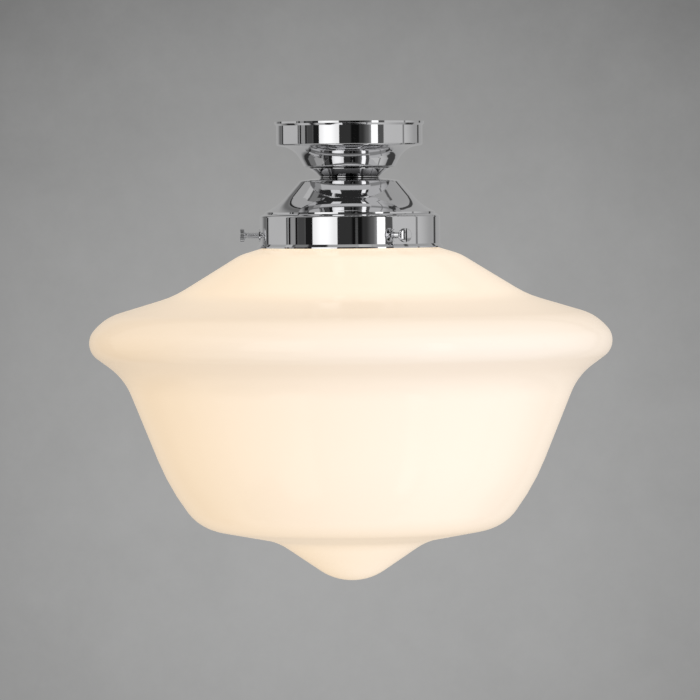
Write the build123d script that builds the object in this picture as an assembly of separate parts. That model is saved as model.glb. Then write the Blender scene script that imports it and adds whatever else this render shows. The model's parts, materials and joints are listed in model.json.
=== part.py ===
from build123d import *
from math import asin, atan2, cos, hypot, pi, sin, tan
import os

# Batten-fix ceiling light: a chromed canopy and gallery that hold an opal schoolhouse shade.
# Millimetres. The origin is the centre of the ceiling plane and +Z is up, so depths are negative Z.
# The left thumbscrew points along -X, and the front of the light faces -Y.

# Spun metal
SHEET = 0.9

# Canopy, a spun cup against the ceiling
RIM_DIAMETER = 85.8
RIM_EDGE = 1.15
RIM_BEVEL_DEPTH = 2.3
BAND_DIAMETER = 83.8
BAND_DEPTH = 13.6
BAND_ROUNDING = 1.1
COVE_INSET = 10.0
COVE_DEPTH = 15.1
COVE_ROUNDING = 13.9
CANOPY_FOOT_INSET = 16.2
CANOPY_DEPTH = 26.1
CANOPY_FOOT_ROUNDING = 1.8

# Neck collar, a turned spacer
NECK_TOP_DIAMETER = 46.0
NECK_WAIST_DIAMETER = 33.8
NECK_HEIGHT = 6.1
NECK_EDGE = 0.8

# Gallery, a spun bell whose ring takes a four-inch shade
GALLERY_BORE = 101.6
GALLERY_HEIGHT = 40.0
CROWN_DIAMETER = 56.8
CROWN_FALL = 1.5
CROWN_ROUNDING = 2.5
FLARE_SHARE = 0.625
FLARE_FALL = 15.9
FLARE_BEND = 1.45
SHOULDER_WIDTH = 2.9
SHOULDER_FALL = 19.5
SHOULDER_STEP = 0.9
SHOULDER_SLOPE = 1.4
RING_ROUNDING = 1.2
LIP_FLARE = 1.4
LIP_HEIGHT = 2.3
LIP_EDGE = 0.8

# Thumbscrews and the tapped bosses that carry them
SCREW_ANGLES = {"left": 180, "front": 300, "rear": 60}
SCREW_RISE = 7.3
SCREW_DIAMETER = 3.6
SCREW_EXPOSED = 8.9
SCREW_POINT = 0.5
HEAD_DIAMETER = 8.0
HEAD_THICKNESS = 2.4
HEAD_CONE = 0.9
HEAD_ROUNDING = 0.5
HEAD_DOME = 0.4
KNURL_COUNT = 24
KNURL_RADIUS = 0.35
KNURL_DEPTH = 0.2
SLOT_WIDTH = 1.0
SLOT_DEPTH = 0.9
BOSS_DIAMETER = 7.0
BOSS_HEIGHT = 0.5
SPIGOT_DIAMETER = 5.6
SPIGOT_LENGTH = 0.9

# Opal glass shade: depths are below the gallery's lip
SHADE_WALL = 3.5
SHADE_NECK_DIAMETER = 92.0
BEAD_PROUD = 2.6
BEAD_HEIGHT = 5.2
BEAD_ROUNDING = 2.3
BEAD_FILLET = 0.6
NECK_FOOT_RISE = 1.2
NECK_FOOT_ROUNDING = 4.0
COLLAR_DIAMETER = 126.0
COLLAR_DEPTH = 3.9
COLLAR_ROUNDING = 25.0
SCOOP_INSET = 48.5
SCOOP_DEPTH = 27.5
SCOOP_ROUNDING = 60.0
SHADE_DIAMETER = 300.0
NOSE_DEPTH = 53.8
NOSE_ROUNDING = 11.0
BROW_INSET = 8.7
BROW_RISE = 14.4
BROW_ROUNDING = 30.0
WAIST_INSET = 19.8
WAIST_FALL = 20.1
WAIST_ROUNDING = 37.0
FOOT_INSET = 62.4
FOOT_DEPTH = 160.1
FOOT_ROUNDING = 28.0
FLANK_OUTSET = 17.0
FLANK_RISE = 22.7
FLANK_ROUNDING = 150.0
FINIAL_DIAMETER = 86.8
LEDGE_FALL = 8.3
FINIAL_ROUNDING = 35.0
FINIAL_HEIGHT = 22.6
TIP_ROUNDING = 32.0
TIP_FLAT = 0.3

# Clearances
THREAD_CLEARANCE = 0.05
HOLE_CLEARANCE = 0.2
SEAT_GAP = 0.3

# Threaded nipple, nuts and washer
NIPPLE_DIAMETER = 10.0
NIPPLE_BORE = 7.6
NUT_ACROSS_FLATS = 14.0
NUT_HEIGHT = 3.0
WASHER_DIAMETER = 24.0
WASHER_THICKNESS = 1.2

# Mounting bracket, a cranked strap with two slots and two tabs
BRACKET_END_GAP = 2.0
BRACKET_WIDTH = 18.0
BRACKET_THICKNESS = 1.5
BRACKET_DROP = 11.5
BRACKET_PLATE = 27.0
BRACKET_RAMP = 3.5
BRACKET_BEND = 2.0
MOUNT_SPACING = 50.8
MOUNT_SLOT_LENGTH = 11.0
MOUNT_SLOT_WIDTH = 4.6
EARTH_TAB_WIDTH = 10.0
EARTH_TAB_REACH = 19.0
BLOCK_TAB_WIDTH = 14.0
BLOCK_STANDOFF = 3.0

# Earth point
EARTH_SCREW_PLACE = 13.5
EARTH_SCREW_DIAMETER = 4.0
EARTH_SCREW_LENGTH = 5.0
EARTH_HEAD_DIAMETER = 7.0
EARTH_HEAD_HEIGHT = 2.2
LUG_DIAMETER = 8.4
LUG_THICKNESS = 0.8
LUG_BARREL_LENGTH = 6.0
LUG_BARREL_WALL = 0.5
LUG_TURN = 40.0

# Terminal block, three ways side by side
BLOCK_WAYS = 3
BLOCK_PITCH = 8.0
BLOCK_DEPTH = 15.0
BLOCK_HEIGHT = 10.5
BLOCK_ROUNDING = 1.2
BLOCK_NOTCH = 1.4
CLAMP_DIAMETER = 4.4
CLAMP_BORE = 2.8
CLAMP_LENGTH = 12.0
CLAMP_SCREW_DIAMETER = 2.6
CLAMP_SCREW_SPREAD = 7.0
CLAMP_SCREW_RECESS = 1.0
CLAMP_SLOT_WIDTH = 0.5
FIXING_SCREW_DIAMETER = 3.0
FIXING_SCREW_LENGTH = 4.0
FIXING_HEAD_DIAMETER = 5.5
FIXING_HEAD_HEIGHT = 1.8

# Leads inside the fitting
WIRE_DIAMETER = 2.2
WIRE_BEND = 4.5
WIRE_SPREAD = 3.4
WIRE_SEATED = 5.0
WIRE_LEAD_OUT = 4.0
EARTH_WIRE_PLACE = 11.0

# Lampholder, Edison screw 27
HOLDER_DIAMETER = 40.0
HOLDER_WALL = 1.9
HOLDER_GAP = 0.4
CAP_HEIGHT = 22.0
CAP_BOSS_DIAMETER = 18.0
CAP_BOSS_HEIGHT = 5.0
CAP_THREAD_LENGTH = 7.0
CAP_DOME_FALL = 3.5
CAP_DOME_ROUNDING = 5.0
SHELL_HEIGHT = 26.0
SHELL_SPIGOT = 5.0
SHELL_ROUNDING = 1.5
SHELL_SPIGOT_WALL = 1.65
CORE_THICKNESS = 6.0
SLEEVE_WALL = 0.6
SLEEVE_LENGTH = 22.0
POST_SIZE = 5.0
POST_HEIGHT = 6.0
POST_PLACE = 12.0
POST_BORE_RISE = 3.6
POST_SCREW_DIAMETER = 2.4
POST_SCREW_HEAD = 4.0
POST_SCREW_HEAD_HEIGHT = 1.4
LEAF_WIDTH = 6.0
LEAF_THICKNESS = 0.4
LEAF_REACH = 9.0
LEAF_DROP = 3.0

# Lamp with an E27 cap
LAMP_CAP_DIAMETER = 26.4
LAMP_CAP_LENGTH = 21.0
LAMP_CAP_TAPER = 3.5
LAMP_CAP_WALL = 0.5
LAMP_CAP_EYE = 19.0
INSULATOR_HEIGHT = 2.6
CONTACT_DIAMETER = 9.0
CONTACT_HEIGHT = 1.6
LAMP_DIAMETER = 60.0
LAMP_LENGTH = 108.0
DIFFUSER_WALL = 1.4
DIFFUSER_RISE = 17.7
HOUSING_WALL = 1.6
BOARD_INSET = 1.2
BOARD_THICKNESS = 1.5
BOARD_RISE = 2.0
CHIP_COUNT = 8
CHIP_SIZE = 3.5
CHIP_HEIGHT = 0.8
CHIP_CIRCLE = 26.0
DRIVER_WIDTH = 14.0
DRIVER_HEIGHT = 28.0
DRIVER_THICKNESS = 1.2

# Levels, worked down from the ceiling
canopy_foot_z = -CANOPY_DEPTH
canopy_floor_z = canopy_foot_z + SHEET
gallery_top_z = canopy_foot_z - NECK_HEIGHT
gallery_seat_z = gallery_top_z - SHEET
lip_z = gallery_top_z - GALLERY_HEIGHT
screw_z = lip_z + SCREW_RISE
plate_z = -BRACKET_DROP
nipple_top_z = plate_z + NUT_HEIGHT + HOLE_CLEARANCE
holder_top_z = gallery_seat_z - WASHER_THICKNESS - NUT_HEIGHT - HOLDER_GAP
nipple_foot_z = holder_top_z - CAP_THREAD_LENGTH + HOLE_CLEARANCE
cap_foot_z = holder_top_z - CAP_HEIGHT
core_top_z = cap_foot_z + SHELL_SPIGOT
core_foot_z = core_top_z - CORE_THICKNESS
leaf_foot_z = core_foot_z - LEAF_DROP
lamp_top_z = leaf_foot_z - SEAT_GAP
lamp_cap_top_z = lamp_top_z - CONTACT_HEIGHT - INSULATOR_HEIGHT
lamp_cap_foot_z = lamp_cap_top_z - LAMP_CAP_LENGTH
lamp_foot_z = lamp_top_z - LAMP_LENGTH
wire_z = plate_z + BLOCK_HEIGHT / 2
post_wire_z = core_top_z + POST_BORE_RISE
lamp_centre_z = lamp_foot_z + LAMP_DIAMETER / 2
diffuser_top_z = lamp_centre_z + DIFFUSER_RISE
board_foot_z = diffuser_top_z + BOARD_RISE
board_top_z = board_foot_z + BOARD_THICKNESS

# Places across the fitting
block_face_y = -BRACKET_WIDTH / 2 - BLOCK_STANDOFF
block_back_y = block_face_y - BLOCK_DEPTH
block_centre_y = (block_face_y + block_back_y) / 2
way_places = [(way - (BLOCK_WAYS - 1) / 2) * BLOCK_PITCH for way in range(BLOCK_WAYS)]
fixing_x = way_places[-1] - BLOCK_PITCH / 2

# Radii
ring_radius = GALLERY_BORE / 2 + SHEET
shade_neck_radius = SHADE_NECK_DIAMETER / 2
screw_tip_radius = shade_neck_radius + SEAT_GAP
nipple_hole_radius = NIPPLE_DIAMETER / 2 + HOLE_CLEARANCE
thread_radius = NIPPLE_DIAMETER / 2 + THREAD_CLEARANCE
wire_radius = WIRE_DIAMETER / 2
lamp_cap_radius = LAMP_CAP_DIAMETER / 2
sleeve_radius = lamp_cap_radius + SEAT_GAP + SLEEVE_WALL
cap_inner_radius = HOLDER_DIAMETER / 2 - HOLDER_WALL
core_radius = cap_inner_radius - THREAD_CLEARANCE - SHELL_SPIGOT_WALL - HOLE_CLEARANCE
diffuser_mouth = (LAMP_DIAMETER ** 2 / 4 - DIFFUSER_RISE ** 2) ** 0.5


# Helpers

def moved_aside(path, distance):
    """The same path of (across, up, rounding) corners, moved to the right of its travel."""
    spans = [(b[0] - a[0], b[1] - a[1]) for a, b in zip(path, path[1:])]
    ways = [(x / hypot(x, y), y / hypot(x, y)) for x, y in spans]
    ways = [ways[0]] + ways + [ways[-1]]
    moved = []
    for (across, up, rounding), (ax, ay), (bx, by) in zip(path, ways, ways[1:]):
        stretch = distance / (1 + ax * bx + ay * by)
        turns_left = ax * by - ay * bx > 0
        if rounding:
            rounding = max(0, rounding + (distance if turns_left else -distance))
        moved.append((across + (ay + by) * stretch, up - (ax + bx) * stretch, rounding))
    return moved


def outline_face(corners):
    """Flat face in the XZ plane inside a closed outline of (across, up, rounding) corners."""
    points = [(across, 0, up) for across, up, _ in corners]
    roundings = [rounding for _, _, rounding in corners]
    return make_face(FilletPolyline(*points, radius=roundings, close=True).edges())


def turned(corners):
    """Solid of revolution about the Z axis."""
    return revolve(outline_face(corners), axis=Axis.Z)


def sharp(*points):
    """Corners with no rounding."""
    return [(across, up, 0) for across, up in points]


def ring(inner, outer, low, high):
    """Plain ring about the Z axis."""
    return turned(sharp((inner, low), (outer, low), (outer, high), (inner, high)))


def rod(radius, start, end):
    """Round rod from one point to another."""
    line = Line(start, end)
    section = Plane(origin=start, z_dir=line % 0) * Circle(radius)
    return extrude(section, amount=line.length)


def box(x_span, y_span, z_span):
    """Box between pairs of limits."""
    spans = [x_span, y_span, z_span]
    sizes = [high - low for low, high in spans]
    return Pos(*[(low + high) / 2 for low, high in spans]) * Box(*sizes)


def around(angle, solid):
    """A solid made along +X at the screws' level, turned to an angle about the Z axis."""
    return Rot(0, 0, angle) * Pos(0, 0, screw_z) * solid


def tangent_corner(before, centre, radius, after):
    """Where a path bends round a circle on its right: the meeting point of the two tangents."""
    def tangent(point, side):
        across, up = centre[0] - point[0], centre[1] - point[1]
        return atan2(up, across) + side * asin(radius / hypot(across, up))

    a, b = tangent(before, 1), tangent(after, -1)
    gap_across, gap_up = after[0] - before[0], after[1] - before[1]
    reach = (gap_across * sin(b) - gap_up * cos(b)) / sin(b - a)
    return (before[0] + reach * cos(a), before[1] + reach * sin(a), radius)


def slot_cut(diameter, width, top):
    """Cutter for the driver slot across a screw head whose top is at a level."""
    return box((-diameter, diameter), (-width / 2, width / 2), (top - SLOT_DEPTH, top))


def hex_nut(low):
    """Nut on the nipple, standing on a level."""
    section = RegularPolygon(NUT_ACROSS_FLATS / 2, 6, major_radius=False) - Circle(thread_radius)
    return Pos(0, 0, low) * extrude(section, amount=NUT_HEIGHT)


# Canopy, neck and gallery

def make_canopy():
    skin = [
        (BAND_DIAMETER / 2, 0, 0),
        (BAND_DIAMETER / 2, -BAND_DEPTH, BAND_ROUNDING),
        (BAND_DIAMETER / 2 - COVE_INSET, -COVE_DEPTH, COVE_ROUNDING),
        (BAND_DIAMETER / 2 - CANOPY_FOOT_INSET, canopy_foot_z, CANOPY_FOOT_ROUNDING),
        (nipple_hole_radius, canopy_foot_z, 0),
    ]
    rim = sharp(
        (RIM_DIAMETER / 2, 0),
        (RIM_DIAMETER / 2, -RIM_EDGE),
        (BAND_DIAMETER / 2, -RIM_BEVEL_DEPTH),
    )
    return turned(rim + skin[1:] + moved_aside(skin, SHEET)[::-1])


def make_neck_collar():
    foot = gallery_top_z
    return turned(sharp(
        (nipple_hole_radius, canopy_foot_z),
        (NECK_TOP_DIAMETER / 2, canopy_foot_z),
        (NECK_TOP_DIAMETER / 2, canopy_foot_z - NECK_EDGE),
        (NECK_WAIST_DIAMETER / 2, foot + NECK_EDGE),
        (NECK_WAIST_DIAMETER / 2, foot),
        (nipple_hole_radius, foot),
    ))


def make_gallery():
    shoulder_radius = ring_radius - SHOULDER_WIDTH
    shoulder_z = gallery_top_z - SHOULDER_FALL
    step_z = shoulder_z - SHOULDER_STEP
    crown_radius = CROWN_DIAMETER / 2
    flare_width = shoulder_radius - crown_radius
    flare_radius = crown_radius + FLARE_SHARE * flare_width
    skin = [
        (nipple_hole_radius, gallery_top_z, 0),
        (NECK_WAIST_DIAMETER / 2, gallery_top_z, 0),
        (crown_radius, gallery_top_z - CROWN_FALL, CROWN_ROUNDING),
        (flare_radius, gallery_top_z - FLARE_FALL, FLARE_BEND * flare_width),
        (shoulder_radius, shoulder_z, 0),
        (shoulder_radius, step_z, 0),
        (ring_radius, step_z - SHOULDER_SLOPE, RING_ROUNDING),
        (ring_radius, lip_z + LIP_HEIGHT, 0),
        (ring_radius + LIP_FLARE, lip_z + LIP_EDGE, 0),
        (ring_radius + LIP_FLARE, lip_z, 0),
    ]
    gallery = turned(skin + moved_aside(skin, SHEET)[::-1])
    hole_radius = SPIGOT_DIAMETER / 2 + THREAD_CLEARANCE
    hole = rod(hole_radius, (GALLERY_BORE / 2 - SHEET, 0, 0), (ring_radius + SHEET, 0, 0))
    for angle in SCREW_ANGLES.values():
        gallery -= around(angle, hole)
    return gallery


# Thumbscrews

def make_screw_bosses():
    inside = GALLERY_BORE / 2 - SPIGOT_LENGTH
    outside = ring_radius + BOSS_HEIGHT
    flange = rod(BOSS_DIAMETER / 2, (inside, 0, 0), (outside, 0, 0))
    flange -= Cylinder(ring_radius, 2 * BOSS_DIAMETER)
    spigot = rod(SPIGOT_DIAMETER / 2, (inside, 0, 0), (outside, 0, 0))
    bore = rod(SCREW_DIAMETER / 2 + THREAD_CLEARANCE, (inside, 0, 0), (outside, 0, 0))
    boss = flange + spigot - bore
    return [around(angle, boss) for angle in SCREW_ANGLES.values()]


def make_thumbscrew():
    shank = SCREW_DIAMETER / 2
    head = HEAD_DIAMETER / 2
    under = ring_radius + SCREW_EXPOSED
    face = under + HEAD_THICKNESS
    screw = turned([
        (0, screw_tip_radius, 0),
        (shank - SCREW_POINT, screw_tip_radius, 0),
        (shank, screw_tip_radius + SCREW_POINT, 0),
        (shank, under - HEAD_CONE, 0),
        (head, under, HEAD_ROUNDING),
        (head, face, HEAD_ROUNDING),
        (head / 2, face + HEAD_DOME, 0),
        (0, face + HEAD_DOME, 0),
    ])
    flute_place = head + KNURL_RADIUS - KNURL_DEPTH
    flute = Pos(flute_place, 0, (under + face) / 2) * Cylinder(KNURL_RADIUS, 2 * HEAD_THICKNESS)
    for turn in range(KNURL_COUNT):
        screw -= Rot(0, 0, 360 * turn / KNURL_COUNT) * flute
    screw -= slot_cut(HEAD_DIAMETER, SLOT_WIDTH, face + HEAD_DOME)
    return Rot(0, 90, 0) * screw


# Glass shade

def make_glass_shade():
    bead_foot_z = screw_z + SCREW_DIAMETER / 2 + SEAT_GAP
    bead_top_z = bead_foot_z + BEAD_HEIGHT
    bead_radius = shade_neck_radius + BEAD_PROUD
    nose = (SHADE_DIAMETER / 2 - NOSE_ROUNDING, lip_z - NOSE_DEPTH)
    brow = (SHADE_DIAMETER / 2 - BROW_INSET, nose[1] + BROW_RISE, BROW_ROUNDING)
    waist = (SHADE_DIAMETER / 2 - WAIST_INSET, nose[1] - WAIST_FALL, WAIST_ROUNDING)
    foot = (SHADE_DIAMETER / 2 - FOOT_INSET, lip_z - FOOT_DEPTH, FOOT_ROUNDING)
    flank = (foot[0] + FLANK_OUTSET, foot[1] + FLANK_RISE, FLANK_ROUNDING)
    finial = (FINIAL_DIAMETER / 2, foot[1] - LEDGE_FALL, FINIAL_ROUNDING)
    tip = (0, finial[1] - FINIAL_HEIGHT, 0)
    skin = [
        (shade_neck_radius, bead_top_z, 0),
        (shade_neck_radius, lip_z + NECK_FOOT_RISE, NECK_FOOT_ROUNDING),
        (COLLAR_DIAMETER / 2, lip_z - COLLAR_DEPTH, COLLAR_ROUNDING),
        (SHADE_DIAMETER / 2 - SCOOP_INSET, lip_z - SCOOP_DEPTH, SCOOP_ROUNDING),
        brow,
        tangent_corner(brow, nose, NOSE_ROUNDING, waist),
        waist,
        flank,
        foot,
        finial,
        tangent_corner(finial, (TIP_FLAT, tip[1] + TIP_ROUNDING), TIP_ROUNDING, tip),
        tip,
    ]
    bead = [
        (bead_radius, bead_top_z, BEAD_ROUNDING),
        (bead_radius, bead_foot_z, BEAD_ROUNDING),
        (shade_neck_radius, bead_foot_z, BEAD_FILLET),
    ]
    return turned(bead + skin[1:] + moved_aside(skin, SHADE_WALL)[::-1])


# Fixing hardware

def make_mounting_bracket():
    half = BAND_DIAMETER / 2 - SHEET - BRACKET_END_GAP
    plate = BRACKET_PLATE / 2
    top = [
        (-half, 0, 0),
        (-plate - BRACKET_RAMP, 0, BRACKET_BEND),
        (-plate, plate_z, BRACKET_BEND),
        (plate, plate_z, BRACKET_BEND),
        (plate + BRACKET_RAMP, 0, BRACKET_BEND),
        (half, 0, 0),
    ]
    side = outline_face(top + moved_aside(top, BRACKET_THICKNESS)[::-1])
    bracket = extrude(side, amount=BRACKET_WIDTH / 2, dir=(0, 1, 0), both=True)
    plate_span = (plate_z - BRACKET_THICKNESS, plate_z)
    bracket += box((-EARTH_TAB_WIDTH / 2, EARTH_TAB_WIDTH / 2), (0, EARTH_TAB_REACH), plate_span)
    bracket += box((-BLOCK_TAB_WIDTH / 2, BLOCK_TAB_WIDTH / 2), (block_back_y, 0), plate_span)
    through = 2 * (BRACKET_DROP + BRACKET_THICKNESS)
    bracket -= Cylinder(thread_radius, 2 * through)
    earth_hole = Cylinder(EARTH_SCREW_DIAMETER / 2 + THREAD_CLEARANCE, 2 * through)
    bracket -= Pos(0, EARTH_SCREW_PLACE) * earth_hole
    fixing_hole = Cylinder(FIXING_SCREW_DIAMETER / 2 + HOLE_CLEARANCE, 2 * through)
    bracket -= Pos(fixing_x, block_centre_y) * fixing_hole
    slot = extrude(SlotOverall(MOUNT_SLOT_LENGTH, MOUNT_SLOT_WIDTH), amount=through, both=True)
    for side_sign in (-1, 1):
        bracket -= Pos(side_sign * MOUNT_SPACING / 2) * slot
    return bracket


def make_threaded_nipple():
    return ring(NIPPLE_BORE / 2, NIPPLE_DIAMETER / 2, nipple_foot_z, nipple_top_z)


def make_gallery_washer():
    low = gallery_seat_z - WASHER_THICKNESS
    return ring(nipple_hole_radius, WASHER_DIAMETER / 2, low, gallery_seat_z)


# Earth point

def make_earth_screw():
    head_z = plate_z + LUG_THICKNESS
    shank = extrude(Circle(EARTH_SCREW_DIAMETER / 2), -EARTH_SCREW_LENGTH)
    head = extrude(Circle(EARTH_HEAD_DIAMETER / 2), EARTH_HEAD_HEIGHT)
    screw = shank + head - slot_cut(EARTH_HEAD_DIAMETER, SLOT_WIDTH, EARTH_HEAD_HEIGHT)
    return Pos(0, EARTH_SCREW_PLACE, head_z) * screw


lug_radius = wire_radius + HOLE_CLEARANCE + LUG_BARREL_WALL
lug_start = EARTH_HEAD_DIAMETER / 2 + HOLE_CLEARANCE
lug_level = plate_z + lug_radius


def make_earth_lug():
    eye = extrude(Circle(LUG_DIAMETER / 2), LUG_THICKNESS)
    tongue = box((0, lug_start + lug_radius), (-lug_radius, lug_radius), (0, LUG_THICKNESS))
    barrel_ends = (lug_start, 0, lug_radius), (lug_start + LUG_BARREL_LENGTH, 0, lug_radius)
    lug = eye + tongue + rod(lug_radius, *barrel_ends)
    lug -= rod(lug_radius - LUG_BARREL_WALL, *barrel_ends)
    lug -= Cylinder(EARTH_SCREW_DIAMETER / 2 + HOLE_CLEARANCE, 4 * LUG_THICKNESS)
    return Pos(0, EARTH_SCREW_PLACE, plate_z) * Rot(0, 0, -LUG_TURN) * lug


# Terminal block

def clamp_screw_places():
    """Where the clamping screws stand: two over each way."""
    offsets = (-CLAMP_SCREW_SPREAD / 2, CLAMP_SCREW_SPREAD / 2)
    return [(x, block_centre_y + offset) for x in way_places for offset in offsets]


def make_terminal_block():
    half = BLOCK_WAYS * BLOCK_PITCH / 2
    top_z = plate_z + BLOCK_HEIGHT
    block = box((-half, half), (block_back_y, block_face_y), (plate_z, top_z))
    block = fillet(block.edges().filter_by(Axis.X).group_by(Axis.Z)[-1], BLOCK_ROUNDING)
    bore = CLAMP_DIAMETER / 2 + HOLE_CLEARANCE
    for x in way_places:
        block -= rod(bore, (x, block_back_y, wire_z), (x, block_face_y, wire_z))
    for x in way_places[1:]:
        notch_x = (x - BLOCK_PITCH / 2 - BLOCK_NOTCH / 2, x - BLOCK_PITCH / 2 + BLOCK_NOTCH / 2)
        for y in (block_back_y, block_face_y):
            block -= box(notch_x, (y - BLOCK_NOTCH, y + BLOCK_NOTCH), (plate_z, top_z))
    well = CLAMP_SCREW_DIAMETER / 2 + HOLE_CLEARANCE
    for x, y in clamp_screw_places():
        block -= rod(well, (x, y, wire_z), (x, y, top_z))
    pilot = FIXING_SCREW_DIAMETER / 2 + THREAD_CLEARANCE
    depth = FIXING_SCREW_LENGTH - BRACKET_THICKNESS + HOLE_CLEARANCE
    block -= rod(pilot, (fixing_x, block_centre_y, plate_z), (fixing_x, block_centre_y, plate_z + depth))
    return block


def make_terminal_clamps():
    ends = (block_centre_y - CLAMP_LENGTH / 2, block_centre_y + CLAMP_LENGTH / 2)
    tapped = CLAMP_SCREW_DIAMETER / 2 + THREAD_CLEARANCE
    clamps = []
    for x in way_places:
        clamp = rod(CLAMP_DIAMETER / 2, (x, ends[0], wire_z), (x, ends[1], wire_z))
        clamp -= rod(CLAMP_BORE / 2, (x, ends[0], wire_z), (x, ends[1], wire_z))
        for screw_x, y in clamp_screw_places():
            if screw_x == x:
                clamp -= rod(tapped, (x, y, wire_z), (x, y, wire_z + CLAMP_DIAMETER))
        clamps.append(clamp)
    return clamps


def make_terminal_screws():
    low = wire_z + wire_radius + THREAD_CLEARANCE
    height = plate_z + BLOCK_HEIGHT - CLAMP_SCREW_RECESS - low
    screw = extrude(Circle(CLAMP_SCREW_DIAMETER / 2), height)
    screw -= slot_cut(CLAMP_SCREW_DIAMETER, CLAMP_SLOT_WIDTH, height)
    return [Pos(x, y, low) * screw for x, y in clamp_screw_places()]


def make_terminal_fixing_screw():
    shank = extrude(Circle(FIXING_SCREW_DIAMETER / 2), -FIXING_SCREW_LENGTH)
    head = extrude(Circle(FIXING_HEAD_DIAMETER / 2), FIXING_HEAD_HEIGHT)
    screw = shank + head - slot_cut(FIXING_HEAD_DIAMETER, SLOT_WIDTH, FIXING_HEAD_HEIGHT)
    return Pos(fixing_x, block_centre_y, plate_z - BRACKET_THICKNESS) * Rot(180, 0, 0) * screw


# Leads

def wire_along(points, bends):
    """Round lead along straight runs joined by arcs."""
    route = FilletPolyline(*points, radius=bends)
    return sweep(Plane(origin=points[0], z_dir=route % 0) * Circle(wire_radius), path=route)


def make_lamp_lead(way, side):
    """Lead from one way of the block through the nipple to a lampholder post on one side."""
    x = side * WIRE_SPREAD / 2
    points = [
        (way_places[way], block_face_y - WIRE_SEATED, wire_z),
        (way_places[way], block_face_y + WIRE_LEAD_OUT, wire_z),
        (x, 0, wire_z),
        (x, 0, post_wire_z),
        (side * POST_PLACE, 0, post_wire_z),
    ]
    return wire_along(points, [WIRE_BEND] * 3)


def make_earth_wire():
    turn = LUG_TURN * pi / 180
    end = lug_start + lug_radius
    points = [
        (way_places[-1], block_face_y - WIRE_SEATED, wire_z),
        (way_places[-1], block_face_y + WIRE_LEAD_OUT / 2, wire_z),
        (EARTH_WIRE_PLACE, block_face_y + 2 * WIRE_LEAD_OUT, wire_z),
        (EARTH_WIRE_PLACE, EARTH_SCREW_PLACE - EARTH_WIRE_PLACE * tan(turn), lug_level),
        (end * cos(turn), EARTH_SCREW_PLACE - end * sin(turn), lug_level),
    ]
    return wire_along(points, [WIRE_BEND] * 3)


# Lampholder

def make_holder_cap():
    outer = HOLDER_DIAMETER / 2
    shoulder_z = holder_top_z - CAP_BOSS_HEIGHT
    dome_z = shoulder_z - CAP_DOME_FALL
    thread_foot_z = holder_top_z - CAP_THREAD_LENGTH
    return turned([
        (thread_radius, holder_top_z, 0),
        (CAP_BOSS_DIAMETER / 2, holder_top_z, 0),
        (CAP_BOSS_DIAMETER / 2, shoulder_z, 0),
        (outer, dome_z, CAP_DOME_ROUNDING),
        (outer, cap_foot_z, 0),
        (cap_inner_radius, cap_foot_z, 0),
        (cap_inner_radius, dome_z - HOLDER_WALL, CAP_DOME_ROUNDING - HOLDER_WALL),
        (thread_radius + HOLDER_WALL, thread_foot_z, 0),
        (thread_radius, thread_foot_z, 0),
    ])


def make_holder_shell():
    spigot = cap_inner_radius - THREAD_CLEARANCE
    core = core_radius + HOLE_CLEARANCE
    bore = sleeve_radius + HOLE_CLEARANCE
    foot_z = cap_foot_z - SHELL_HEIGHT
    return turned([
        (spigot, core_top_z, 0),
        (spigot, cap_foot_z, 0),
        (HOLDER_DIAMETER / 2, cap_foot_z, 0),
        (HOLDER_DIAMETER / 2, foot_z, SHELL_ROUNDING),
        (bore, foot_z, 0),
        (bore, core_foot_z, 0),
        (core, core_foot_z, 0),
        (core, core_top_z, 0),
    ])


def make_holder_core():
    return Pos(0, 0, core_foot_z) * extrude(Circle(core_radius), CORE_THICKNESS)


def make_holder_sleeve():
    return ring(sleeve_radius - SLEEVE_WALL, sleeve_radius, core_foot_z - SLEEVE_LENGTH, core_foot_z)


def make_centre_contact():
    top_drop = LEAF_DROP - LEAF_THICKNESS
    top = [
        (-LEAF_REACH, core_foot_z, 0),
        (-LEAF_REACH / 3, core_foot_z, LEAF_THICKNESS),
        (0, core_foot_z - top_drop, LEAF_THICKNESS),
        (LEAF_REACH / 3, core_foot_z - top_drop, 0),
    ]
    side = outline_face(top + moved_aside(top, LEAF_THICKNESS)[::-1])
    return extrude(side, amount=LEAF_WIDTH / 2, dir=(0, 1, 0), both=True)


def make_holder_terminals():
    half = POST_SIZE / 2
    tapped = POST_SCREW_DIAMETER / 2 + THREAD_CLEARANCE
    top_z = core_top_z + POST_HEIGHT
    posts = []
    for side in (-1, 1):
        x = side * POST_PLACE
        post = box((x - half, x + half), (-half, half), (core_top_z, top_z))
        post -= rod(wire_radius + HOLE_CLEARANCE, (x - half, 0, post_wire_z), (x + half, 0, post_wire_z))
        post -= rod(tapped, (x, 0, post_wire_z), (x, 0, top_z))
        posts.append(post)
    return posts


def make_holder_terminal_screws():
    top_z = core_top_z + POST_HEIGHT
    low_z = post_wire_z + wire_radius + THREAD_CLEARANCE
    screws = []
    for side in (-1, 1):
        x = side * POST_PLACE
        shank = rod(POST_SCREW_DIAMETER / 2, (x, 0, low_z), (x, 0, top_z))
        head = Pos(x, 0, top_z) * extrude(Circle(POST_SCREW_HEAD / 2), POST_SCREW_HEAD_HEIGHT)
        screws.append(shank + head)
    return screws


# Lamp

def make_lamp_contact():
    radius = CONTACT_DIAMETER / 2
    foot_z = lamp_top_z - CONTACT_HEIGHT
    bevel = CONTACT_HEIGHT / 2
    return turned(sharp(
        (0, foot_z),
        (radius, foot_z),
        (radius, lamp_top_z - bevel),
        (radius - bevel, lamp_top_z),
        (0, lamp_top_z),
    ))


def make_lamp_cap_insulator():
    top_z = lamp_top_z - CONTACT_HEIGHT
    return turned(sharp(
        (0, lamp_cap_top_z),
        (LAMP_CAP_EYE / 2, lamp_cap_top_z),
        (CONTACT_DIAMETER / 2, top_z),
        (0, top_z),
    ))


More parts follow.
